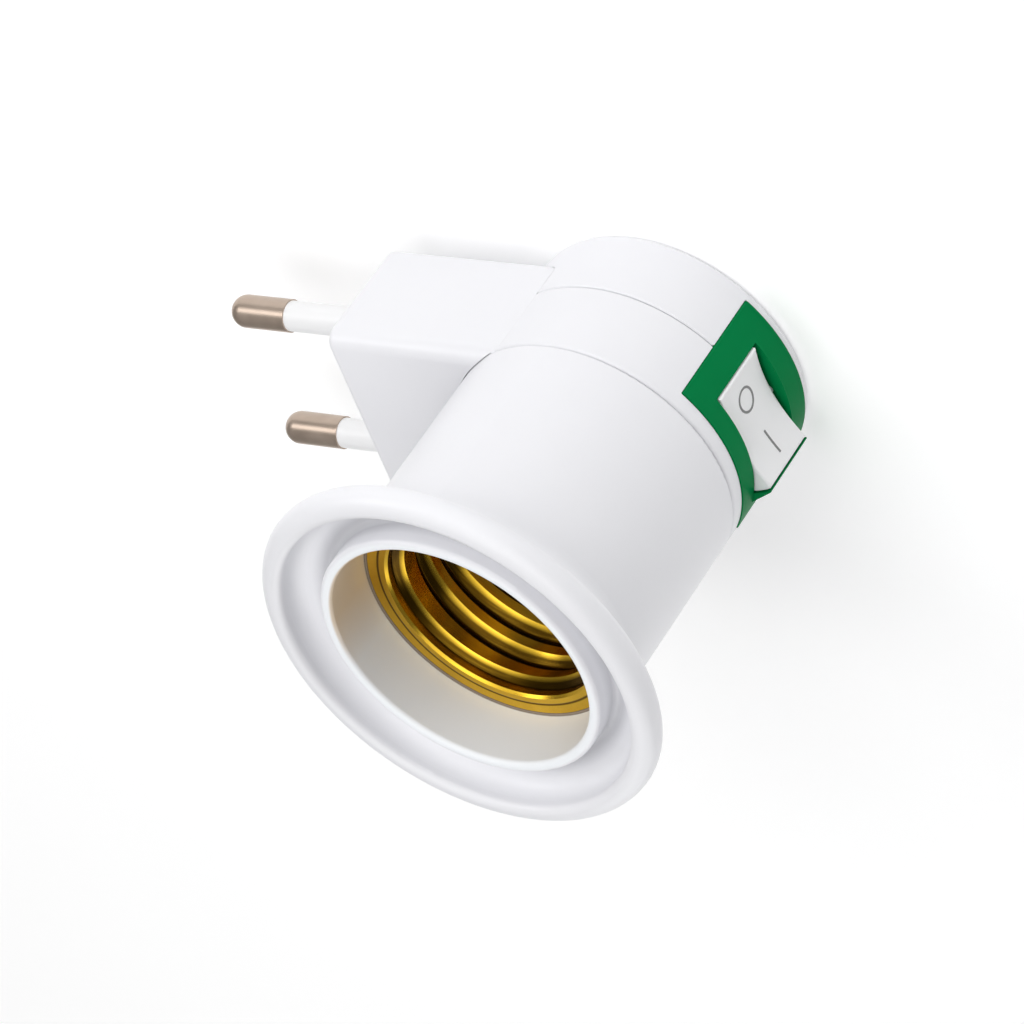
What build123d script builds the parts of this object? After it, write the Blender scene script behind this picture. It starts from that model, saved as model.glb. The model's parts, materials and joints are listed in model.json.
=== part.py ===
"""Plug-in lamp holder: a mains plug on a side arm, a screw lamp socket and a rocker switch.

Millimetres. +Z is the socket's axis, towards the lamp. +Y is the way the plug pins point.
The rocker switch faces -Y. The origin is the centre of the flat rear face.
"""
import os
from math import cos, radians, sin, sqrt

from build123d import *

# Round thread for a 27 mm lamp cap, rolled in thin sheet
thread_pitch = 3.629
thread_inner_radius = 12.2
thread_depth = 1.1
thread_start_angle = 210.0
thread_end_margin = 1.6
ridge_gap = 0.7
ridge_sink = 0.25
ridge_fullness = 0.47
shell_wall = 0.4
flange_width = 2.05
flange_thickness = 0.5
flange_seat_width = 0.6
shell_foot_width = 4.2
mouth_flare = 0.3
shell_depth = 7.8

# Round body
sleeve_wall = 1.4
sleeve_step = 0.3
sleeve_height = 32.5
sleeve_edge_round = 0.6
body_wall = 1.6
cap_height = 9.3
ring_height = 10.0
rear_edge_round = 1.1
rear_floor = 1.8
rear_inner_round = 0.8
seam_round = 0.2
seam_bevel = 0.15
seam_gap = 0.1
ring_edge_round = 0.5
spigot_wall = 1.5
spigot_gap = 0.2
cap_lip_height = 2.0
lip_root = 1.0
lip_clearance = 3.0
deck_thickness = 1.5
fit_gap = 0.05
cap_gap = 0.1
through = 2.0

# Flared rim
rim_overhang = 7.25
rim_rise = 1.4
rim_face = 2.9
rim_depth = 2.9
rim_outer_round = 2.0
rim_inner_round = 0.85
rim_back_round = 1.3
flare_height = 4.4
flare_round = 4.0
groove_lip = 2.85
groove_outer_round = 2.5
groove_inner_round = 0.6

# Socket base and its ledge
base_thickness = 3.0
base_gap = 0.2
base_edge_round = 0.4
ledge_rise = 3.5
ledge_height = 1.5
ledge_width = 2.0
hub_radius = 6.4
hub_height = 0.9
contact_width = 5.0
contact_thickness = 0.4
contact_rise = 3.6
contact_tip = 3.2
contact_lip = 1.4
contact_rivet_shift = 0.6
rivet_radius = 1.1
rivet_head_radius = 1.9
rivet_head_height = 0.7
rivet_edge_round = 0.3

# Plug arm
arm_inset = 1.8
arm_reach = 31.45
arm_bottom = 4.1
arm_lead = 0.85
arm_wall = 1.8
arm_front_round = 2.0
arm_rear_round = 1.3
arm_end_round = 0.9

# Plug pins
pin_spacing = 18.6
pin_height = 10.8
pin_radius = 2.0
pin_core_radius = 1.55
pin_reach = 52.8
pin_metal_length = 8.5
pin_sleeve_radius = 1.84
pin_collar_radius = 2.7
pin_collar_length = 1.0
pin_tail_length = 7.9
pin_cup_radius = 0.95
pin_cup_depth = 3.0
carrier_flange = 1.8
carrier_boss_radius = 3.7
carrier_boss_length = 3.8
carrier_rib = 1.2

# Switch frame
plate_half_width = 10.25
plate_bottom = 1.5
plate_height = 15.7
plate_proud = 0.15
plate_sunk = 0.65
plate_corner = 0.15
pocket_wall = 0.9
pocket_reach = 8.8
window_end_gap = 0.2
window_rear_gap = 0.6
window_front_gap = 0.25
guard_rise = 3.2
guard_top = 0.25
guard_foot = 8.9
guard_sink = 0.2
guard_round = 0.1
guard_side_gap = 0.5
clip_height = 3.2
clip_reach = 0.8
clip_length = 2.5

# Rocker
switch_height = 9.8
rocker_width = 8.8
rocker_end_radius = 6.95
rocker_valley_rise = 1.12
rocker_dish_radius = 20.0
rocker_underside_drop = 2.4
rocker_wall = 1.0
rocker_edge_round = 0.25
pivot_depth = 15.4
pivot_radius = 0.6
rocker_throw = 20.0
stem_radius = 1.9
stem_length = 1.7
plunger_radius = 1.05
plunger_length = 1.95
spring_wire = 0.15
spring_turns = 4
ridge_drop = 5.3
ridge_half_width = 1.5
detent_gap = 0.3

# Contacts inside the switch
bridge_offset = 4.4
bridge_drop = 2.8
bridge_thickness = 0.5
bridge_width = 2.0
bridge_length = 5.4
post_radius = 1.0
stake_radius = 0.5
stake_head = 0.8
stake_height = 0.25
button_radius = 0.7
button_height = 0.35
button_spread = 1.95
contact_gap = 0.25
terminal_thickness = 0.8
terminal_width = 1.8
terminal_tail = 2.8

# Screws and wires
screw_offset = -1.0
screw_shank_radius = 1.3
screw_hole_gap = 0.3
screw_head_radius = 2.6
screw_head_height = 1.8
screw_head_round = 0.6
screw_boss_radius = 2.4
screw_boss_length = 3.0
screw_column_wall = 0.9
screw_recess = 3.0
screw_recess_gap = 0.2
screw_cover = 1.2
screw_slot = 0.6
wire_radius = 0.9
wire_tail = 2.5
deck_hole_half = 6.5
deck_hole_start = -5.0
deck_hole_length = 17.5

# Sizes that follow from the ones above
shell_outer_radius = thread_inner_radius + shell_wall
thread_outer_radius = thread_inner_radius + thread_depth
flange_radius = thread_outer_radius + shell_wall + flange_width
sleeve_radius = flange_radius + fit_gap + sleeve_step
body_radius = sleeve_radius + sleeve_wall
rim_radius = body_radius + rim_overhang
bore_radius = body_radius - body_wall
spigot_radius = bore_radius - spigot_gap
spigot_bore = spigot_radius - spigot_wall
socket_bore_radius = flange_radius - flange_seat_width
seam_rear = cap_height
seam_front = cap_height + ring_height
mouth = seam_front + sleeve_height
rim_top = mouth + rim_rise
flange_top = mouth - shell_depth
flange_seat = flange_top - flange_thickness
ledge_bottom = seam_front + ledge_rise
ledge_top = ledge_bottom + ledge_height
base_top = ledge_top + base_thickness
hub_top = base_top + hub_height
screw_spread = 0.56 * body_radius
screw_end = base_top - screw_cover
screw_hole_radius = screw_shank_radius + screw_hole_gap
screw_recess_radius = screw_head_radius + screw_recess_gap
arm_half_width = body_radius - arm_inset
arm_start = sqrt(body_radius**2 - arm_half_width**2)
arm_front = seam_front + arm_lead
arm_ceiling = seam_front - deck_thickness
end_wall = arm_reach - arm_wall
joint_y = pin_reach - pin_metal_length
pin_tail = end_wall - pin_tail_length
plate_outer = body_radius + plate_proud
plate_inner = body_radius - plate_sunk
rocker_valley = pivot_depth + rocker_valley_rise
rocker_underside = pivot_depth - rocker_underside_drop
bridge_depth = pivot_depth - bridge_drop
ridge_depth = pivot_depth - ridge_drop
pocket_back = pivot_depth - pocket_reach
pocket_floor = pocket_back + rocker_wall
guard_height = pivot_depth + guard_rise
window_low = switch_height - rocker_width / 2 - window_rear_gap
window_high = switch_height + rocker_width / 2 + window_front_gap
window_radius = rocker_end_radius + window_end_gap
pocket_low = window_low - pocket_wall
pocket_high = window_high + pocket_wall
pocket_side = window_radius + pocket_wall
clip_bottom = seam_rear + cap_lip_height + spigot_gap
rest_turn = radians(rocker_throw / 2)


def outline(corners, rounds=()):
    """A closed flat outline; rounds pairs a corner's number with its radius."""
    face = Polygon(*corners, align=None)
    for number, radius in rounds:
        corner = Vector(*corners[number])
        nearest = face.vertices().sort_by_distance(corner)[0]
        face = fillet(nearest, radius)
    return face


def turned(corners, rounds=()):
    """A solid turned about the socket's axis from corners given as (radius, height)."""
    return revolve(Plane.XZ * outline(corners, rounds), Axis.Z)


def block(low, high):
    """A box between its lowest and highest corners."""
    size = [b - a for a, b in zip(low, high)]
    return Pos(*low) * Box(*size, align=Align.MIN)


def rod(start, end, radius):
    """A round bar between two points."""
    start, end = Vector(*start), Vector(*end)
    axis = end - start
    return extrude(Plane(start, z_dir=axis) * Circle(radius), axis.length)


def along_switch(face, low, high):
    """A flat outline drawn in X and Y, extruded between two heights."""
    return extrude(Pos(0, 0, low) * face, high - low, dir=(0, 0, 1))


def front_shell():
    """Sleeve and trumpet rim in one moulding, with a seat for the screw shell and a ledge."""
    rim_bottom = rim_top - rim_depth
    flare_foot = rim_bottom - flare_height
    rim_bore = rim_radius - rim_face
    slope = flare_height / rim_overhang
    groove_edge = rim_top - groove_lip
    groove_foot = groove_edge - slope * (rim_bore - body_radius)
    pocket = flange_radius + fit_gap
    ledge_bore = socket_bore_radius - ledge_width
    corners = [
        (body_radius, seam_front + seam_gap),
        (body_radius, flare_foot),
        (rim_radius, rim_bottom),
        (rim_radius, rim_top),
        (rim_bore, rim_top),
        (rim_bore, groove_edge),
        (body_radius, groove_foot),
        (body_radius, mouth),
        (sleeve_radius, mouth),
        (sleeve_radius, flange_top + fit_gap),
        (pocket, flange_top + fit_gap),
        (pocket, flange_seat),
        (socket_bore_radius, flange_seat),
        (socket_bore_radius, ledge_top),
        (ledge_bore, ledge_top),
        (ledge_bore, ledge_bottom),
        (bore_radius, ledge_bottom),
        (bore_radius, seam_front + seam_gap),
    ]
    rounds = [
        (0, seam_round),
        (1, flare_round),
        (2, rim_back_round),
        (3, rim_outer_round),
        (4, rim_inner_round),
        (5, groove_outer_round),
        (6, groove_inner_round),
        (7, sleeve_edge_round),
        (8, sleeve_edge_round),
    ]
    return turned(corners, rounds)


def thread_ridge(root_radius, crest_radius):
    """One round-topped helical ridge, standing out from root_radius to crest_radius."""
    start = base_top + thread_end_margin
    length = flange_seat - thread_end_margin - start
    middle = (root_radius + crest_radius) / 2
    root = root_radius - ridge_sink
    half = (thread_pitch - ridge_gap) / 2
    shoulder = ridge_fullness * half
    ridge = Spline(
        (root, -half),
        (middle, -shoulder),
        (crest_radius, 0),
        (middle, shoulder),
        (root, half),
        tangents=[(1, 0.9), (-1, 0.9)],
    )
    back = Line((root, half), (root, -half))
    section = Plane.XZ * make_face(ridge + back)
    path = Helix(thread_pitch, length, root_radius)
    swept = sweep(section, path, is_frenet=True)
    return Pos(0, 0, start) * Rot(0, 0, thread_start_angle) * swept


def screw_shell():
    """Thin brass shell: flange at the mouth, rolled round thread, foot turned in below."""
    inner = thread_inner_radius
    neck = thread_outer_radius
    foot = inner - shell_foot_width
    plain_end = flange_seat - thread_end_margin
    neck_start = flange_seat - thread_end_margin / 2
    above = flange_top + through
    body = turned(
        [
            (0, base_top),
            (shell_outer_radius, base_top),
            (shell_outer_radius, plain_end),
            (neck + shell_wall, neck_start),
            (neck + shell_wall, flange_seat),
            (flange_radius, flange_seat),
            (flange_radius, flange_top),
            (0, flange_top),
        ]
    )
    cavity = turned(
        [
            (0, base_top - through),
            (foot, base_top - through),
            (foot, base_top + shell_wall),
            (inner, base_top + shell_wall),
            (inner, plain_end),
            (neck, neck_start),
            (neck, flange_top - mouth_flare),
            (neck + mouth_flare, flange_top),
            (neck + mouth_flare, above),
            (0, above),
        ]
    )
    body += thread_ridge(shell_outer_radius, shell_outer_radius + thread_depth)
    cavity += thread_ridge(inner, thread_outer_radius)
    shell = body - cavity
    for spot in rivet_spots():
        shell -= Pos(*spot) * Cylinder(rivet_radius + fit_gap, 4 * base_thickness)
    return shell


def rivet_spots():
    """Where the shell's foot is riveted to the base."""
    reach = thread_inner_radius - shell_foot_width / 2
    return [(0, reach, base_top), (0, -reach, base_top)]


def contact_rivet_spot():
    """Where the centre contact is riveted to the base's hub."""
    return (-contact_width / 2 - contact_rivet_shift, 0, base_top)


def screw_spots():
    """The two assembly screws, either side of the socket's axis."""
    return [(screw_spread, screw_offset), (-screw_spread, screw_offset)]


def socket_base():
    """Insulating disc with a hub for the centre contact and two screw bosses below."""
    radius = socket_bore_radius - base_gap
    disc = turned(
        [
            (0, ledge_top),
            (radius, ledge_top),
            (radius, base_top),
            (hub_radius, base_top),
            (hub_radius, hub_top),
            (0, hub_top),
        ],
        [(2, base_edge_round), (4, base_edge_round)],
    )
    foot = ledge_bottom - screw_boss_length
    for x, y in screw_spots():
        disc += rod((x, y, foot), (x, y, base_top - base_edge_round), screw_boss_radius)
        disc -= rod((x, y, foot), (x, y, screw_end), screw_shank_radius + fit_gap)
    for spot in rivet_spots() + [contact_rivet_spot()]:
        disc -= Pos(*spot) * Cylinder(rivet_radius + fit_gap, 4 * base_thickness)
    return disc


def rivet(spot, seat, foot):
    """A headed rivet through the base, from its foot below to its head on the seat."""
    x, y, _ = spot
    tail = foot - rivet_head_height
    head = rod((x, y, seat), (x, y, seat + rivet_head_height), rivet_head_radius)
    head = fillet(head.edges().group_by(Axis.Z)[-1], rivet_edge_round)
    shank = rod((x, y, tail), (x, y, seat), rivet_radius)
    return shank + head + rod((x, y, tail), (x, y, foot), rivet_head_radius)


def centre_contact():
    """Sprung brass tongue, flat under its rivet and rising over the centre."""
    x, _, _ = contact_rivet_spot()
    half = contact_width / 2
    start = x - half + rivet_edge_round
    bend = x + half - rivet_edge_round
    top = hub_top + contact_rise
    end = contact_tip + contact_lip
    strip = outline(
        [
            (start, hub_top),
            (bend, hub_top),
            (contact_tip, top - contact_thickness),
            (end, top - 1.5 * contact_thickness),
            (end, top - 0.5 * contact_thickness),
            (contact_tip, top),
            (bend - contact_thickness, hub_top + contact_thickness),
            (start, hub_top + contact_thickness),
        ],
        [(1, 2 * contact_thickness), (6, contact_thickness)],
    )
    tongue = extrude(Plane.XZ * strip, half, both=True)
    return tongue - Pos(x, 0, hub_top) * Cylinder(rivet_radius + fit_gap, base_thickness)


def arm_body(margin):
    """The rounded block that carries the plug pins, grown by a margin all round."""
    half = arm_half_width + margin
    low = (-half, arm_start - margin, arm_bottom - margin)
    arm = block(low, (half, arm_reach + margin, arm_front + margin))
    long_edges = arm.edges().filter_by(Axis.Y).group_by(Axis.Z)
    arm = fillet(long_edges[-1], arm_front_round)
    long_edges = arm.edges().filter_by(Axis.Y).group_by(Axis.Z)
    arm = fillet(long_edges[0], arm_rear_round)
    return fillet(arm.faces().sort_by(Axis.Y)[-1].edges(), arm_end_round)


def switch_window():
    """The opening in the round wall that takes the switch frame's pocket."""
    side = pocket_side + cap_gap
    low = (-side, -2 * body_radius, pocket_low - cap_gap)
    return block(low, (side, -pocket_back, pocket_high + cap_gap))


def plate_sheet(margin, inner_radius):
    """The curved sheet that the switch plate fills, grown sideways by a margin."""
    width = 2 * (plate_half_width + margin)
    height = plate_height + 2 * margin
    panel = RectangleRounded(width, height, plate_corner)
    middle = plate_bottom + plate_height / 2
    slab = extrude(Plane.XZ * Pos(0, middle) * panel, 2 * body_radius)
    tall = 6 * body_radius
    return slab & (Cylinder(plate_outer, tall) - Cylinder(inner_radius, tall))


def middle_housing():
    """Ring between the two seams, with its deck, spigot, screw bosses and plug arm."""
    ring = turned(
        [
            (0, arm_ceiling),
            (bore_radius, arm_ceiling),
            (bore_radius, seam_rear + seam_gap),
            (body_radius - seam_bevel, seam_rear + seam_gap),
            (body_radius, seam_rear + seam_gap + seam_bevel),
            (body_radius, seam_front),
            (spigot_radius, seam_front),
            (spigot_radius, ledge_bottom),
            (spigot_bore, ledge_bottom),
            (spigot_bore, seam_front),
            (0, seam_front),
        ],
        [(5, ring_edge_round)],
    )
    tall = 2 * sleeve_height
    clear = Cylinder(body_radius + cap_gap, tall, align=(Align.CENTER, Align.CENTER, Align.MIN))
    housing = ring + (arm_body(0) - Pos(0, 0, seam_front) * clear)
    inside = arm_half_width - arm_wall
    low = (-inside, arm_start - through, arm_bottom + arm_wall)
    housing -= block(low, (inside, end_wall, arm_ceiling))
    housing -= switch_window()
    housing -= plate_sheet(cap_gap, plate_inner - fit_gap)
    low = (-deck_hole_half, deck_hole_start, arm_ceiling - through)
    high = (deck_hole_half, deck_hole_start + deck_hole_length, seam_front + through)
    housing -= block(low, high)
    for x, y in screw_spots():
        housing += rod((x, y, seam_rear), (x, y, seam_front), screw_boss_radius)
        start = (x, y, seam_rear - through)
        housing -= rod(start, (x, y, seam_front + through), screw_hole_radius)
    for side in (-1, 1):
        x = side * pin_spacing / 2
        start = (x, end_wall - through, pin_height)
        end = (x, arm_reach + through, pin_height)
        housing -= rod(start, end, pin_sleeve_radius + fit_gap)
    return housing


def rear_cap():
    """Closing cap, notched for the plug arm and the switch, with two screw columns."""
    lip_top = seam_rear + cap_lip_height
    cap = turned(
        [
            (0, 0),
            (body_radius, 0),
            (body_radius, seam_rear - seam_bevel),
            (body_radius - seam_bevel, seam_rear),
            (spigot_radius, seam_rear),
            (spigot_radius, lip_top),
            (spigot_bore, lip_top),
            (spigot_bore, seam_rear - lip_root),
            (bore_radius, seam_rear - lip_root - spigot_wall),
            (bore_radius, rear_floor),
            (0, rear_floor),
        ],
        [(1, rear_edge_round), (9, rear_inner_round)],
    )
    column = screw_recess_radius + screw_column_wall
    for x, y in screw_spots():
        below = (x, y, -through)
        cap += rod((x, y, rear_floor / 2), (x, y, seam_rear), column)
        cap -= rod(below, (x, y, screw_recess), screw_recess_radius)
        cap -= rod(below, (x, y, seam_rear + through), screw_hole_radius)
    far = 2 * body_radius
    cap -= arm_body(fit_gap)
    cap -= block((-far, arm_start - lip_clearance, seam_rear), (far, far, seam_front))
    cap -= plate_sheet(cap_gap, plate_inner - fit_gap)
    return cap - switch_window()


def pin(side):
    """A round plug pin: domed bare end, thinner insulated core, collar and wire cup."""
    collar_end = end_wall - carrier_flange
    collar_start = collar_end - pin_collar_length
    dome = pin_reach - pin_radius
    profile = outline(
        [
            (0, pin_tail),
            (pin_core_radius, pin_tail),
            (pin_core_radius, collar_start),
            (pin_collar_radius, collar_start),
            (pin_collar_radius, collar_end),
            (pin_core_radius, collar_end),
            (pin_core_radius, joint_y),
            (pin_radius, joint_y),
            (pin_radius, dome),
            (0, dome),
        ]
    )
    body = revolve(profile, Axis.Y) + Pos(0, dome, 0) * Sphere(pin_radius)
    body -= rod((0, pin_tail, 0), (0, pin_tail + pin_cup_depth, 0), pin_cup_radius)
    return Pos(side * pin_spacing / 2, 0, pin_height) * body


def pin_sleeve(side):
    """Insulating sleeve moulded onto the root half of a pin."""
    x = side * pin_spacing / 2
    start = (x, end_wall - carrier_flange, pin_height)
    end = (x, joint_y, pin_height)
    return rod(start, end, pin_sleeve_radius) - rod(start, end, pin_core_radius)


def pin_carrier():
    """Moulded bar behind the arm's end wall, formed round both pins' collars."""
    inside = arm_half_width - arm_wall - base_gap
    front = end_wall - carrier_flange
    collar_start = front - pin_collar_length
    back = collar_start - carrier_boss_length
    low = arm_bottom + arm_wall + base_gap
    high = arm_ceiling - base_gap
    room = block((-inside, back, low), (inside, end_wall, high))
    bar = block((-inside, front, low), (inside, end_wall, high))
    half = pin_spacing / 2
    bar += block((-half, back, low), (half, end_wall, low + carrier_rib))
    for x in (-half, half):
        boss = rod((x, back, pin_height), (x, end_wall, pin_height), carrier_boss_radius)
        bar += boss & room
    for x in (-half, half):
        start = (x, back - through, pin_height)
        bar -= rod(start, (x, front, pin_height), pin_core_radius + fit_gap)
        start = (x, collar_start - fit_gap, pin_height)
        bar -= rod(start, (x, front, pin_height), pin_collar_radius + fit_gap)
        end = (x, arm_reach, pin_height)
        bar -= rod((x, front, pin_height), end, pin_sleeve_radius + fit_gap)
    return bar


def about_pivot(shape, angle):
    """Turns a switch part about the rocker's pivot."""
    pivot = Pos(0, -pivot_depth, 0)
    return pivot * Rot(0, 0, angle) * pivot.inverse() * shape


def swing_circle():
    """The room that the rocker's ends sweep through, seen along the pivot."""
    return Pos(0, -pivot_depth) * Circle(window_radius)


def guard():
    """Raised wall that stands beside the rocker's high end."""
    inner = sqrt(window_radius**2 - (guard_height - pivot_depth) ** 2)
    base = sqrt(plate_outer**2 - guard_foot**2) - plate_proud - guard_sink
    wedge = outline(
        [
            (-pocket_wall, -guard_height),
            (-inner - guard_top, -guard_height),
            (-guard_foot, -base),
            (-pocket_wall, -base),
        ],
        [(1, guard_round)],
    )
    low = window_low + guard_side_gap
    return along_switch(wedge - swing_circle(), low, window_high)


def switch_frame():
    """Green plate curved to the body, with the pocket that holds the rocker and contacts."""
    low = (-pocket_side, -2 * body_radius, pocket_low)
    pocket = block(low, (pocket_side, -pocket_back, pocket_high))
    pocket &= Cylinder(plate_outer, 6 * body_radius)
    frame = plate_sheet(0, plate_inner) + pocket + guard()
    swing = swing_circle()
    middle = (pivot_depth + pocket_floor) / 2
    room = Rectangle(2 * window_radius, pivot_depth - pocket_floor)
    swing += Pos(0, -middle) * room
    swing -= Pos(0, window_radius - pocket_floor) * Rectangle(4 * window_radius, 2 * window_radius)
    frame -= along_switch(swing, window_low, window_high)
    start = (0, -pivot_depth, pocket_low - pocket_wall)
    end = (0, -pivot_depth, pocket_high + pocket_wall)
    frame -= rod(start, end, pivot_radius + fit_gap)
    for side in (-1, 1):
        frame -= terminal_slot(side)
    return frame + detent_ridge() + clips()


def clips():
    """Two barbs on the pocket that catch behind the ring's wall."""
    tip = pocket_side + clip_reach
    root = pocket_side - pocket_wall / 2
    catch = sqrt(bore_radius**2 - tip**2) - cap_gap
    barb = outline([(root, -catch), (tip, -catch), (root, clip_length - catch)])
    right = along_switch(barb, clip_bottom, clip_bottom + clip_height)
    return right + mirror(right, about=Plane.YZ)


def detent_ridge():
    """Ridge on the pocket's floor that the rocker's plunger snaps over."""
    floor = -pocket_floor + pocket_wall / 2
    ridge = outline([(-ridge_half_width, floor), (0, -ridge_depth), (ridge_half_width, floor)])
    return along_switch(ridge, window_low, window_high)


def on_place(depth):
    """Where a point over the bridge's middle lies once the rocker is pressed to on."""
    drop = pivot_depth - depth
    x = drop * sin(rest_turn) - bridge_offset * cos(rest_turn)
    return x, drop * cos(rest_turn) + bridge_offset * sin(rest_turn) - pivot_depth


def tail_place(side):
    """Centre of a terminal strip across its run, and its height."""
    x, _ = on_place(bridge_depth)
    return x - terminal_width / 2 + terminal_thickness / 2, switch_height + side * button_spread


def terminal_slot(side):
    """Slot through the pocket's floor for one terminal."""
    x, z = tail_place(side)
    half = terminal_thickness / 2 + fit_gap
    width = terminal_width / 2 + fit_gap
    low = (x - half, -pocket_floor - pocket_wall, z - width)
    return block(low, (x + half, pocket_wall - pocket_back, z + width))


def terminal(side):
    """Folded brass strip through the pocket's floor, with a fixed contact button."""
    button_face = bridge_depth - bridge_thickness - button_height - contact_gap
    seat = button_face - button_height
    x, z = tail_place(side)
    _, top = on_place(seat)
    thick, width = terminal_thickness / 2, terminal_width / 2
    strip = block((x - thick, top, z - width), (x + thick, -terminal_tail, z + width))
    head_end = x - thick + terminal_width
    strip += block((x - thick, top, z - width), (head_end, top + terminal_thickness, z + width))
    start = (-bridge_offset, -button_face, z)
    end = (-bridge_offset, -seat + terminal_thickness / 2, z)
    return strip + about_pivot(rod(start, end, button_radius), -rocker_throw / 2)


def rocker():
    """Dished rocker with end faces round its pivot, two trunnions and a hollow stem."""
    section = Pos(0, -pivot_depth) * Circle(rocker_end_radius)
    big = 4 * rocker_end_radius
    section -= Pos(0, -rocker_underside + big / 2) * Rectangle(big, big)
    section -= Pos(0, -rocker_valley - rocker_dish_radius) * Circle(rocker_dish_radius)
    low = switch_height - rocker_width / 2
    high = switch_height + rocker_width / 2
    body = along_switch(section, low, high)
    body = fillet(body.faces().sort_by(Axis.Y)[0].edges(), rocker_edge_round)
    body -= rocker_hollows(low + rocker_wall, high - rocker_wall)
    stem_end = -rocker_underside + stem_length
    start = (0, -pivot_depth, switch_height)
    body += rod(start, (0, stem_end, switch_height), stem_radius)
    body -= rod(start, (0, stem_end, switch_height), plunger_radius + fit_gap)
    for root, tip in ((low, pocket_low + fit_gap), (high, pocket_high - fit_gap)):
        body += rod((0, -pivot_depth, root), (0, -pivot_depth, tip), pivot_radius)
    return about_pivot(body + bridge_post(), rocker_throw / 2)


def rocker_hollows(low, high):
    """Two coring pockets under the rocker, one each side of the stem."""
    top = rocker_wall - rocker_valley
    outer = sqrt(rocker_end_radius**2 - (rocker_valley - pivot_depth) ** 2) - rocker_wall
    right = block((stem_radius, top, low), (outer, through - rocker_underside, high))
    return right + mirror(right, about=Plane.YZ)


def bridge_post():
    """Post in the rocker's hollow that carries the contact bridge, staked over below it."""
    x = -bridge_offset
    top = rocker_wall / 2 - rocker_valley
    under = bridge_thickness - bridge_depth
    post = rod((x, top, switch_height), (x, -bridge_depth, switch_height), post_radius)
    post += rod((x, top, switch_height), (x, under, switch_height), stake_radius)
    end = (x, under + stake_height, switch_height)
    return post + rod((x, under, switch_height), end, stake_head)


def plunger():
    """Round-nosed pin that slides in the rocker's stem and rides over the ridge."""
    tip = -ridge_depth - detent_gap
    nose = (0, tip - plunger_radius, switch_height)
    body = rod((0, tip - plunger_length, switch_height), nose, plunger_radius)
    body += Pos(*nose) * Sphere(plunger_radius)
    return about_pivot(body, rocker_throw / 2)


def plunger_spring():
    """Fine coil spring behind the plunger."""
    end = -ridge_depth - detent_gap - plunger_length - spring_wire
    start = spring_wire - pivot_depth
    path = Helix((end - start) / spring_turns, end - start, plunger_radius - spring_wire)
    wire = sweep(Plane(path @ 0, z_dir=path % 0) * Circle(spring_wire), path, is_frenet=True)
    placed = Pos(0, start, switch_height) * Rot(-90, 0, 0) * wire
    return about_pivot(placed, rocker_throw / 2)


def contact_bridge():
    """Brass strip across the rocker with a contact button near each end."""
    x = -bridge_offset
    under = bridge_thickness - bridge_depth
    half = bridge_length / 2
    low = (x - bridge_width / 2, -bridge_depth, switch_height - half)
    strip = block(low, (x + bridge_width / 2, under, switch_height + half))
    for side in (-1, 1):
        z = switch_height + side * button_spread
        strip += rod((x, under, z), (x, under + button_height, z), button_radius)
    strip -= rod((x, -pivot_depth, switch_height), (x, 0, switch_height), stake_radius + fit_gap)
    return about_pivot(strip, rocker_throw / 2)


def wire(points, radii):
    """A round insulated wire along straight runs and tangent arcs."""
    path = FilletPolyline(*points, radius=radii)
    return sweep(Plane(path @ 0, z_dir=path % 0) * Circle(wire_radius), path)


def wire_live():
    """From the live pin's cup to the common terminal."""
    pin_x = -pin_spacing / 2
    x, z = tail_place(-1)
    points = [
        (pin_x, pin_tail + wire_tail, pin_height),
        (pin_x, arm_start + 1, pin_height),
        (x, arm_start / 2, z),
        (x, -terminal_tail, z),
    ]
    return wire(points, [5 * wire_radius, 4 * wire_radius])


def wire_switched():
    """From the switched terminal, up through the deck, to the centre contact's rivet."""
    x, z = tail_place(1)
    rivet_x, rivet_y, _ = contact_rivet_spot()
    points = [
        (x, -terminal_tail, z),
        (x, rivet_y, z),
        (rivet_x, rivet_y, arm_ceiling),
        (rivet_x, rivet_y, ledge_top - rivet_head_height),
    ]
    return wire(points, [2 * wire_radius, 4 * wire_radius])


def wire_neutral():
    """From the neutral pin's cup, up through the deck, to the shell's rivet."""
    pin_x = pin_spacing / 2
    shell_x, shell_y, _ = rivet_spots()[0]
    points = [
        (pin_x, pin_tail + wire_tail, pin_height),
        (pin_x, shell_y + wire_radius, pin_height),
        (shell_x, shell_y, arm_ceiling - wire_radius),
        (shell_x, shell_y, ledge_top - rivet_head_height),
    ]
    return wire(points, [3 * wire_radius, 3 * wire_radius])


def assembly_screw(spot):
    """Pan-head screw from the rear cap into the socket base."""
    x, y = spot
    top = screw_recess - screw_head_height
    head = rod((x, y, top), (x, y, screw_recess), screw_head_radius)
    head = fillet(head.edges().group_by(Axis.Z)[0], screw_head_round)
    shank = rod((x, y, screw_recess), (x, y, screw_end - fit_gap), screw_shank_radius)
    deep = Pos(x, y, top) * Box(screw_head_radius, screw_slot, screw_head_height)
    cross = Pos(x, y, top) * Box(screw_slot, screw_head_radius, screw_head_height)
    return head + shank - deep - cross


def save(shape, node):
    """Writes one sub-part to its own file."""
    export_step(shape, f"parts/{node}.step")


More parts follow.
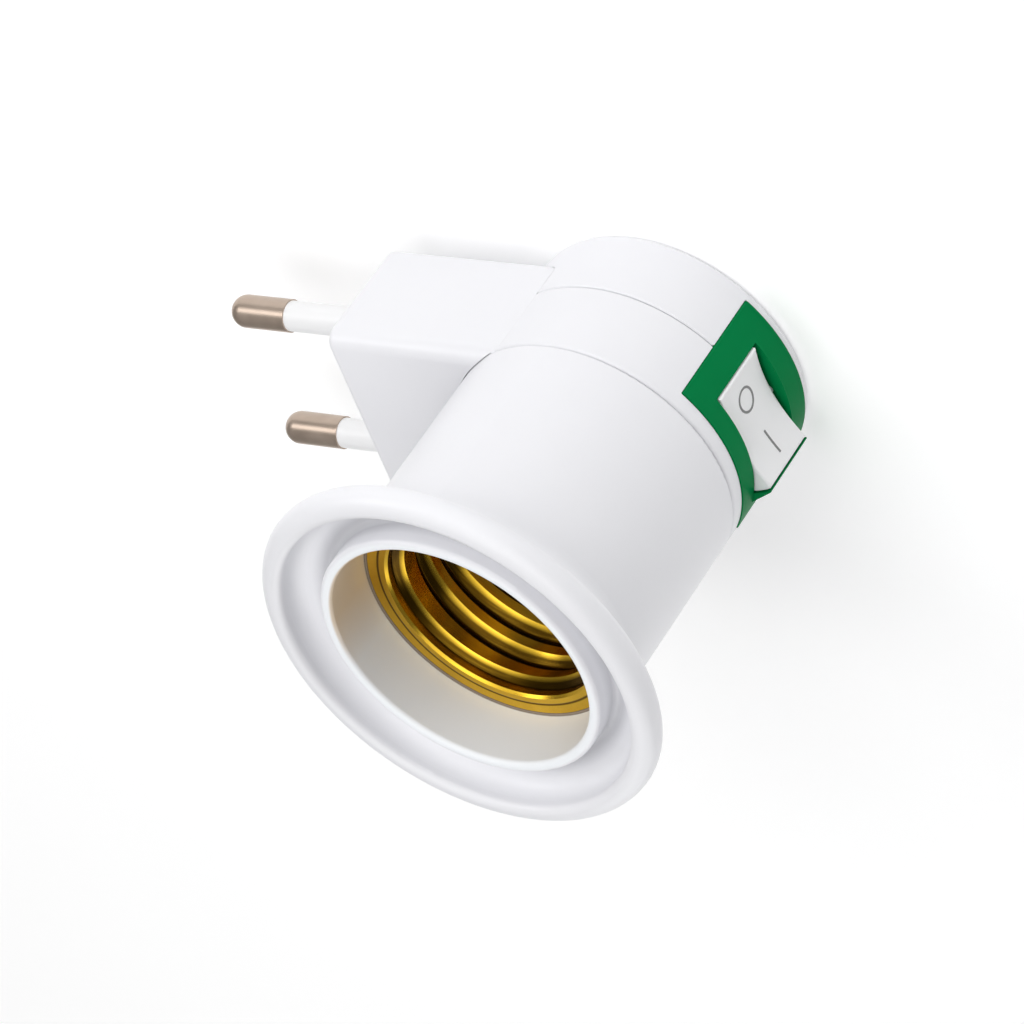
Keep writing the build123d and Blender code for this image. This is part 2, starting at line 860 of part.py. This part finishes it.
os.makedirs("parts", exist_ok=True)
save(front_shell(), "front_shell")
save(screw_shell(), "screw_shell")
save(socket_base(), "socket_base")
save(centre_contact(), "centre_contact")
save(rivet(contact_rivet_spot(), hub_top + contact_thickness, ledge_top), "contact_rivet")
for rivet_name, rivet_spot in zip(("wired_shell_rivet", "plain_shell_rivet"), rivet_spots()):
    save(rivet(rivet_spot, base_top + shell_wall, ledge_top), rivet_name)
save(middle_housing(), "middle_housing")
save(rear_cap(), "rear_cap")
for pin_name, pin_side in (("live", -1), ("neutral", 1)):
    save(pin(pin_side), f"{pin_name}_pin")
    save(pin_sleeve(pin_side), f"{pin_name}_pin_sleeve")
save(pin_carrier(), "pin_carrier")
save(switch_frame(), "switch_frame")
save(rocker(), "rocker")
save(plunger(), "plunger")
save(plunger_spring(), "plunger_spring")
save(contact_bridge(), "contact_bridge")
save(terminal(-1), "common_terminal")
save(terminal(1), "switched_terminal")
save(wire_live(), "live_wire")
save(wire_switched(), "switched_wire")
save(wire_neutral(), "neutral_wire")
for screw_name, screw_spot in zip(("right", "left"), screw_spots()):
    save(assembly_screw(screw_spot), f"{screw_name}_assembly_screw")
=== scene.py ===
import json
import math

import bpy
import numpy as np
from mathutils import Matrix, Vector


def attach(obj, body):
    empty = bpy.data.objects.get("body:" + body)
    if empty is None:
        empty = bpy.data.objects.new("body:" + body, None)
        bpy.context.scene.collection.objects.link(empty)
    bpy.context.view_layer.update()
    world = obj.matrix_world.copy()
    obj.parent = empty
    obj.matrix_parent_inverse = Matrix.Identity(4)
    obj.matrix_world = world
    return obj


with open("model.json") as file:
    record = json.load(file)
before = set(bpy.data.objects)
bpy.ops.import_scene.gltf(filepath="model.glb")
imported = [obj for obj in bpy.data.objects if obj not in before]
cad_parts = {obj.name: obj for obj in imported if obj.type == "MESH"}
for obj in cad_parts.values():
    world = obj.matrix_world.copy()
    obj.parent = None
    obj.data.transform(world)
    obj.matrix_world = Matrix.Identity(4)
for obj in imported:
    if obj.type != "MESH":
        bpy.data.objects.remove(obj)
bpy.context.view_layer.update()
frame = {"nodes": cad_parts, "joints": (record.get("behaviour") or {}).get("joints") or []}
nodes = frame["nodes"]


# Front shell, middle housing and rear cap: the white body, injection moulded in a hard
# glossy plastic. The three mouldings meet at two fine seams, and two screws from the rear
# hold them.
class Level:
    """One socket of a finish. Arithmetic on it adds Math nodes."""

    def __init__(self, finish, socket):
        self.finish = finish
        self.socket = socket

    def maths(self, operation, first, second=None):
        values = {0: first} if second is None else {0: first, 1: second}
        return self.finish.node("ShaderNodeMath", {"operation": operation}, values)

    def __add__(self, other):
        return self.maths("ADD", self, other)

    def __radd__(self, other):
        return self.maths("ADD", other, self)

    def __sub__(self, other):
        return self.maths("SUBTRACT", self, other)

    def __rsub__(self, other):
        return self.maths("SUBTRACT", other, self)

    def __mul__(self, other):
        return self.maths("MULTIPLY", self, other)

    def __rmul__(self, other):
        return self.maths("MULTIPLY", other, self)

    def __abs__(self):
        return self.maths("ABSOLUTE", self)


class Finish:
    """The nodes of one material."""

    def __init__(self, name):
        self.material = bpy.data.materials.new(name)
        self.material.use_nodes = True
        self.tree = self.material.node_tree
        self.tree.nodes.clear()

    def node(self, kind, settings, sockets, out=0):
        """Adds a node from its type, its settings, and the values or links of its sockets."""
        made = self.tree.nodes.new(kind)
        for name, value in settings.items():
            setattr(made, name, value)
        for name, value in sockets.items():
            if isinstance(value, Level):
                self.tree.links.new(value.socket, made.inputs[name])
            else:
                made.inputs[name].default_value = value
        return Level(self, made.outputs[out]) if made.outputs else None

    def place(self):
        """Object coordinates, in metres."""
        return self.node("ShaderNodeTexCoord", {}, {}, "Object")

    def along(self, axis):
        """Object coordinate along X, Y or Z, in metres."""
        return self.node("ShaderNodeSeparateXYZ", {}, {"Vector": self.place()}, axis)

    def stretched(self, x, y, z):
        """Object coordinates scaled by a factor along each axis."""
        scale = {"Vector": self.place(), "Scale": (x, y, z)}
        return self.node("ShaderNodeMapping", {"vector_type": "POINT"}, scale)

    def axis_distance(self):
        """Distance from the lamp socket's axis, in metres."""
        flat = {0: self.stretched(1, 1, 0)}
        return self.node("ShaderNodeVectorMath", {"operation": "LENGTH"}, flat, "Value")

    def noise(self, scale, detail, roughness=0.5, place=None):
        """Noise between 0 and 1; scale is in spots per metre."""
        sockets = {"Scale": scale, "Detail": detail, "Roughness": roughness}
        sockets["Vector"] = place or self.place()
        return self.node("ShaderNodeTexNoise", {}, sockets)

    def fade(self, value, none, full):
        """0 where the value is at none or past it, 1 at full or past it, even between."""
        sockets = {"Value": value, "From Min": none, "From Max": full}
        return self.node("ShaderNodeMapRange", {"clamp": True}, sockets)

    def mix(self, factor, first, second):
        """The first colour at factor 0, the second at factor 1.

        Inputs 6 and 7 of the Mix node and its output 2 are the ones for colours.
        """
        settings = {"data_type": "RGBA", "blend_type": "MIX"}
        sockets = {0: factor}
        for number, shade in ((6, first), (7, second)):
            sockets[number] = shade if isinstance(shade, Level) else (*shade, 1.0)
        return self.node("ShaderNodeMix", settings, sockets, 2)

    def bump(self, height, strength, distance):
        """Relief in the light only; distance is its depth in metres."""
        sockets = {"Strength": strength, "Distance": distance, "Height": height}
        return self.node("ShaderNodeBump", {}, sockets)

    def done(self, **sockets):
        """Ends the finish in one surface shader with these sockets."""
        named = {name.replace("_", " "): value for name, value in sockets.items()}
        surface = self.node("ShaderNodeBsdfPrincipled", {}, named)
        self.node("ShaderNodeOutputMaterial", {}, {"Surface": surface})
        return self.material


# The pairs give where a mark has faded out and where it is full, in metres.
groove_radius = 0.0182
groove_height = 0.0482
# Painted shade: a grey band painted at the foot of the groove behind the rim, where the crease
# lies in shade.
crease_shade_across = (0.00175, 0.0005)
crease_shade_up = (0.002, 0.00057)
crease_shade_grey = (0.36, 0.36, 0.38)
above_flange = (0.0439, 0.04407)
inside_ring = (0.0173, 0.0169)
inside_bore = (0.0164, 0.0162)
# Painted light: the bore and its end ring are painted a brighter white than the body.
lit_bore_white = (0.93, 0.955, 0.98)
# Painted shade and reflection: one side of the bore is painted brown, standing in for the brass
# reflected on it.
reflection_side = (0.0085, 0.01564)
reflected_brass_brown = (0.86, 0.72, 0.56)
corner_radius = 0.0158
corner_height = 0.0439
# Painted shade: a dark brown line painted in the corner of bore and brass flange.
corner_shade_across = (0.0015, 0.00133)
corner_shade_up = (0.00033, 0.00017)
corner_shade_brown = (0.26, 0.21, 0.16)


def lamp_opening(finish, white):
    """The white round the lamp opening, with painted light and shade.

    Painted shade greys the foot of the groove behind the rim. The bore and its end ring are
    painted a brighter white as painted light, and one side of the bore is painted brown as
    painted shade and a painted reflection of the brass. Painted shade darkens the corner of bore
    and brass flange.
    """
    radius = finish.axis_distance()
    height = finish.along("Z")
    groove = finish.fade(abs(radius - groove_radius), *crease_shade_across)
    foot = finish.fade(abs(height - groove_height), *crease_shade_up)
    # Painted shade greys the groove's foot.
    crease_shaded = finish.mix(0.4 * (groove * foot), white, crease_shade_grey)
    # Painted brown on one side of the bore, over the bore's painted brighter white.
    side = finish.fade(finish.along("X") + 0.8 * finish.along("Y"), *reflection_side)
    reflected = side * finish.fade(radius, *inside_bore)
    painted_bore = finish.mix(reflected, lit_bore_white, reflected_brass_brown)
    # The bore's painted light and painted brown laid over the white inside the ring.
    inner = finish.fade(radius, *inside_ring) * finish.fade(height, *above_flange)
    painted_opening = finish.mix(inner, crease_shaded, painted_bore)
    # Painted shade darkens the corner of bore and flange.
    beside = finish.fade(abs(radius - corner_radius), *corner_shade_across)
    below = finish.fade(abs(height - corner_height), *corner_shade_up)
    return finish.mix(beside * below, painted_opening, corner_shade_brown)


def white_plastic(name, dark, light, roughness, painted_shading=None):
    """Glossy white moulding: faint cloudiness in the colour, faint ripple in the gloss."""
    finish = Finish(name)
    cloud = finish.noise(60.0, 3.0)
    ripple = finish.noise(900.0, 1.0)
    white = finish.mix(cloud, dark, light)
    # The last argument, when given, paints light and shade into the white.
    return finish.done(
        Base_Color=painted_shading(finish, white) if painted_shading else white,
        Roughness=roughness - 0.04 + 0.08 * cloud,
        Normal=finish.bump(ripple, 0.04, 0.00002),
        IOR=1.5,
    )


def dress(material, *names):
    """Gives CAD nodes one material."""
    for name in names:
        piece = nodes[name]
        piece.data.materials.clear()
        piece.data.materials.append(material)


# Round the lamp opening the body white carries painted light and shade from lamp_opening.
dress(
    white_plastic("body_white", (0.83, 0.83, 0.86), (0.86, 0.86, 0.885), 0.34, lamp_opening),
    "front_shell",
    "middle_housing",
    "rear_cap",
)


# Pin sleeves: white insulating collars moulded on the root half of each plug pin, a little
# thinner than the metal tip.
dress(
    white_plastic("sleeve_white", (0.85, 0.85, 0.855), (0.88, 0.88, 0.885), 0.36),
    "live_pin_sleeve",
    "neutral_pin_sleeve",
)


# Plug pins: turned brass rod with a nickel plating, domed at the tip. The turning leaves
# very fine rings round each pin.
def nickel(name):
    """Plated metal with turning rings along the pin's length and a dull film in patches."""
    finish = Finish(name)
    rings = finish.noise(1.0, 2.0, place=finish.stretched(300.0, 9000.0, 300.0))
    tarnish_and_shade = finish.noise(420.0, 3.0)
    return finish.done(
        Base_Color=finish.mix(tarnish_and_shade, (0.45, 0.355, 0.285), (0.55, 0.445, 0.365)),
        Metallic=0.88 - 0.3 * tarnish_and_shade,
        Roughness=0.29 + 0.04 * rings + 0.03 * tarnish_and_shade,
        Normal=finish.bump(rings, 0.04, 0.00001),
    )


dress(nickel("pin_nickel"), "live_pin", "neutral_pin")


# Screw shell: thin brass sheet rolled into the lamp's round thread. Rolling leaves fine
# streaks round the thread. The grooves between its crests and the pressed line round its
# flange are painted a near-black brown: painted shade and a painted dark reflection.
between_crests = (0.01228, 0.012735)
under_flange = (0.0431, 0.04277)
line_radius = 0.01445
line_across = (0.0002, 0.000075)
# Painted shade: a near-black brown painted into the thread grooves and the pressed line round the
# flange, standing in for dark reflection.
groove_shade_brown = (0.03, 0.011, 0.0008)


# The last argument sets how strongly the painted shade is laid into the grooves.
def brass(name, dark, light, smoothest, roughest, tarnish_and_shade=0.0):
    """Rolled brass: streaks round the socket's axis, duller patches, painted shade in the
    grooves.
    """
    finish = Finish(name)
    streaks = finish.noise(1.0, 4.0, 0.7, finish.stretched(160.0, 160.0, 6200.0))
    patches = finish.noise(330.0, 3.0)
    radius = finish.axis_distance()
    grooves = finish.fade(radius, *between_crests) * finish.fade(finish.along("Z"), *under_flange)
    line = finish.fade(abs(radius - line_radius), *line_across)
    # Where the painted shade falls: the grooves between crests and the pressed line.
    painted_groove_shade = finish.fade(grooves * (0.75 + 0.5 * streaks) + 0.9 * line, 0.0, 1.0)
    clean = finish.mix(0.5 * streaks + 0.5 * patches, dark, light)
    uneven = 0.6 * streaks + 0.4 * patches
    return finish.done(
        Base_Color=finish.mix(tarnish_and_shade * painted_groove_shade, clean, groove_shade_brown),
        Metallic=1.0,
        Roughness=smoothest + (roughest - smoothest) * uneven,
        Normal=finish.bump(streaks - 3.0 * line, 0.35, 0.00002),
    )


dress(
    brass("shell_brass", (0.56, 0.33, 0.018), (0.84, 0.54, 0.055), 0.17, 0.26, 0.95),
    "screw_shell",
)


# Inside the socket: a grey insulating base with the sprung brass contact and the rivets
# that hold it and the shell. The switch's contacts are pressed from the same sheet.
def matt_plastic(name, dark, light):
    """Matt moulding with a fine grain."""
    finish = Finish(name)
    grain = finish.noise(3800.0, 3.0)
    cloud = finish.noise(150.0, 2.0)
    return finish.done(
        Base_Color=finish.mix(cloud, dark, light),
        Roughness=0.5 + 0.12 * grain,
        Normal=finish.bump(grain, 0.15, 0.00003),
    )


dress(matt_plastic("base_grey", (0.3, 0.29, 0.27), (0.36, 0.35, 0.33)), "socket_base")
dress(
    brass("contact_brass", (0.72, 0.47, 0.12), (0.86, 0.6, 0.2), 0.29, 0.38),
    "centre_contact",
    "contact_rivet",
    "wired_shell_rivet",
    "plain_shell_rivet",
    "contact_bridge",
    "common_terminal",
    "switched_terminal",
)


# Switch frame: green plate that follows the round body, with a raised wall beside the
# rocker's high end. Moulded in one and clipped into the body.
def green_plastic(name):
    """Even green moulding, slightly satin."""
    finish = Finish(name)
    cloud = finish.noise(120.0, 2.0)
    grain = finish.noise(4200.0, 2.0)
    return finish.done(
        Base_Color=finish.mix(cloud, (0.0, 0.185, 0.05), (0.0, 0.215, 0.062)),
        Roughness=0.34 + 0.08 * grain,
        Normal=finish.bump(grain, 0.06, 0.00002),
        Specular_IOR_Level=0.03,
    )


dress(green_plastic("frame_green"), "switch_frame")


# Rocker: white dished moulding with a grey ring for off and a grey bar for on, printed on
# its face. The print follows the dished face and stands a hair above it.
dress(white_plastic("rocker_white", (0.88, 0.88, 0.89), (0.91, 0.91, 0.92), 0.34), "rocker")
rocker_joint = frame["joints"][0]
pivot_y = rocker_joint["pos_m"][1]
rest_turn = math.radians(rocker_joint["range_deg"][1] / 2)
valley_rise = 0.00112
dish_radius = 0.02
dish_centre = pivot_y - valley_rise - dish_radius
ink_rise = 0.00003
ink_sink = 0.00002
ink_width = 0.0003
ring_along = 0.0029
ring_height = 0.0099
ring_half_length = 0.0015
ring_half_height = 0.00135
ring_points = 64
bar_ends = (-0.00518, -0.00188)
bar_height = 0.00975
bar_points = 12


def on_dish(along, height, lift):
    """Point on the rocker's face: along its length, at a height, lifted off the face.

    The face is a circle of dish_radius about dish_centre. The point lies on a circle
    smaller by the lift, and is then turned about the pivot by the rest angle.
    """
    radius = dish_radius - lift
    angle = along / dish_radius
    x = radius * np.sin(angle)
    y = dish_centre + radius * np.cos(angle) - pivot_y
    turned_x = x * math.cos(rest_turn) - y * math.sin(rest_turn)
    turned_y = x * math.sin(rest_turn) + y * math.cos(rest_turn) + pivot_y
    return np.stack([turned_x, turned_y, height], axis=-1)


def printed_line(name, along, height, closed, material):
    """A flat ink line on the rocker's face.

    along and height give the line's middle. Its section is a rectangle: the corners lie
    half a width to each side of the middle, across the line's direction, one pair sunk
    under the face and one pair raised above it.
    """
    if closed:
        step_along = np.roll(along, -1) - np.roll(along, 1)
        step_height = np.roll(height, -1) - np.roll(height, 1)
    else:
        step_along = np.gradient(along)
        step_height = np.gradient(height)
    length = np.hypot(step_along, step_height)
    across_along = -step_height / length * ink_width / 2
    across_height = step_along / length * ink_width / 2
    sides = np.array([-1.0, 1.0, 1.0, -1.0])
    lifts = np.array([-ink_sink, -ink_sink, ink_rise, ink_rise])
    corner_along = along[:, None] + across_along[:, None] * sides
    corner_height = height[:, None] + across_height[:, None] * sides
    points = on_dish(corner_along, corner_height, lifts)
    count = len(along)
    here = 4 * np.arange(count if closed else count - 1)[:, None]
    after = (here + 4) % (4 * count)
    corner = np.arange(4)[None, :]
    beside = (corner + 1) % 4
    quads = np.stack([here + corner, here + beside, after + beside, after + corner], axis=-1)
    faces = quads.reshape(-1, 4).tolist()
    if not closed:
        last = 4 * (count - 1)
        faces += [[3, 2, 1, 0], [last, last + 1, last + 2, last + 3]]
    mesh = bpy.data.meshes.new(name)
    mesh.from_pydata(points.reshape(-1, 3).tolist(), [], faces)
    mesh.materials.append(material)
    piece = bpy.data.objects.new(name, mesh)
    bpy.context.scene.collection.objects.link(piece)
    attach(piece, "rocker_body")


def ink(name):
    """Grey printing ink, a little uneven."""
    finish = Finish(name)
    patches = finish.noise(2600.0, 3.0)
    return finish.done(
        Base_Color=finish.mix(patches, (0.19, 0.19, 0.19), (0.27, 0.27, 0.27)),
        Roughness=0.5 + 0.1 * patches,
    )


mark_grey = ink("mark_grey")
turn = np.linspace(0.0, 2.0 * math.pi, ring_points, endpoint=False)
off_along = ring_along + ring_half_length * np.cos(turn)
off_height = ring_height + ring_half_height * np.sin(turn)
printed_line("off_ring", off_along, off_height, True, mark_grey)
on_along = np.linspace(*bar_ends, bar_points)
on_height = np.full(bar_points, bar_height)
printed_line("on_bar", on_along, on_height, False, mark_grey)


# Inside the body: the carrier moulded round the pins, the rocker's plunger, and the brown
# and blue insulated wires between the pins, the switch and the socket.
carrier_grey = matt_plastic("carrier_grey", (0.52, 0.51, 0.48), (0.6, 0.59, 0.56))
dress(carrier_grey, "pin_carrier", "plunger")
brown_cover = matt_plastic("brown_cover", (0.13, 0.05, 0.02), (0.18, 0.075, 0.035))
dress(brown_cover, "live_wire", "switched_wire")
blue_cover = matt_plastic("blue_cover", (0.02, 0.09, 0.36), (0.035, 0.13, 0.45))
dress(blue_cover, "neutral_wire")


# Screws and spring: two cross-slotted steel screws hold the rear cap, the housing and the
# socket base together. A small coil of steel wire presses on the rocker's plunger.
def steel(name):
    """Bright zinc-plated steel."""
    finish = Finish(name)
    patches = finish.noise(700.0, 3.0)
    return finish.done(
        Base_Color=finish.mix(patches, (0.5, 0.5, 0.52), (0.66, 0.66, 0.68)),
        Metallic=1.0,
        Roughness=0.3 + 0.08 * patches,
    )


dress(steel("screw_steel"), "right_assembly_screw", "left_assembly_screw", "plunger_spring")


# Floor: a wide sheet of matt white paper just under the rear face, glowing faintly so that
# it stays pale in the object's shade. It isn't part of the object.
floor_half = 3.0
floor_drop = 0.00002


def floor_paper(name):
    """Matt white paper."""
    finish = Finish(name)
    cloud = finish.noise(4.0, 2.0)
    return finish.done(
        Base_Color=finish.mix(cloud, (0.95, 0.95, 0.95), (0.97, 0.97, 0.97)),
        Roughness=0.9,
        Emission_Color=(1.0, 1.0, 1.0, 1.0),
        Emission_Strength=0.155,
    )


low, high = -floor_half, floor_half
floor_corners = [
    (low, low, -floor_drop),
    (high, low, -floor_drop),
    (high, high, -floor_drop),
    (low, high, -floor_drop),
]
floor_mesh = bpy.data.meshes.new("floor")
floor_mesh.from_pydata(floor_corners, [], [(0, 1, 2, 3)])
floor_mesh.materials.append(floor_paper("floor_paper"))
floor = bpy.data.objects.new("floor", floor_mesh)
bpy.context.scene.collection.objects.link(floor)


# Light: a dim even surround with five large soft round panels: one low on each side of the
# line from the plug pins to the switch, two higher up and one overhead, so that the switch
# side falls into a soft shade. A smaller one puts the bright streak on the pins.
world = bpy.data.worlds.new("studio")
bpy.context.scene.world = world
world.use_nodes = True
world.node_tree.nodes["Background"].inputs["Color"].default_value = (1.0, 1.0, 1.0, 1.0)
world.node_tree.nodes["Background"].inputs["Strength"].default_value = 0.18
panel_distance = 0.8


def panel(azimuth, elevation, width, power):
    """A round soft light aimed at the object, from an azimuth and elevation in degrees."""
    lamp = bpy.data.lights.new(f"panel_{azimuth}_{elevation}", "AREA")
    lamp.shape = "DISK"
    lamp.size = width
    lamp.energy = power
    light = bpy.data.objects.new(lamp.name, lamp)
    around, up = math.radians(azimuth), math.radians(elevation)
    flat = math.cos(up)
    towards = Vector((flat * math.cos(around), flat * math.sin(around), math.sin(up)))
    light.location = panel_distance * towards
    light.rotation_mode = "QUATERNION"
    light.rotation_quaternion = (-towards).to_track_quat("-Z", "Y")
    bpy.context.scene.collection.objects.link(light)


panel(0, 25, 0.8, 1.75)
panel(180, 25, 0.8, 2.6)
panel(0, 60, 0.8, 1.3)
panel(315, 60, 0.8, 1.7)
panel(0, 90, 0.8, 1.0)
panel(45, 34, 0.32, 0.9)


# Camera: at the photograph's viewing angle, a long lens about 0.6 m from the object. Its
# turn is given by three unit vectors: to the right, upward, and back from the object.
lens = bpy.data.cameras.new("camera")
lens.sensor_width = 36.0
lens.lens = 183.898
lens.clip_start = 0.01
camera = bpy.data.objects.new("camera", lens)
right = (-0.317213, -0.821338, -0.474109)
upward = (0.729483, 0.10813, -0.675398)
backward = (0.605996, -0.5601, 0.564852)
turn_to = Matrix((right, upward, backward)).transposed().to_4x4()
camera.matrix_world = Matrix.Translation((0.35743, -0.324345, 0.361954)) @ turn_to
bpy.context.scene.collection.objects.link(camera)
bpy.context.scene.camera = camera
bpy.context.scene.view_settings.view_transform = "Standard"
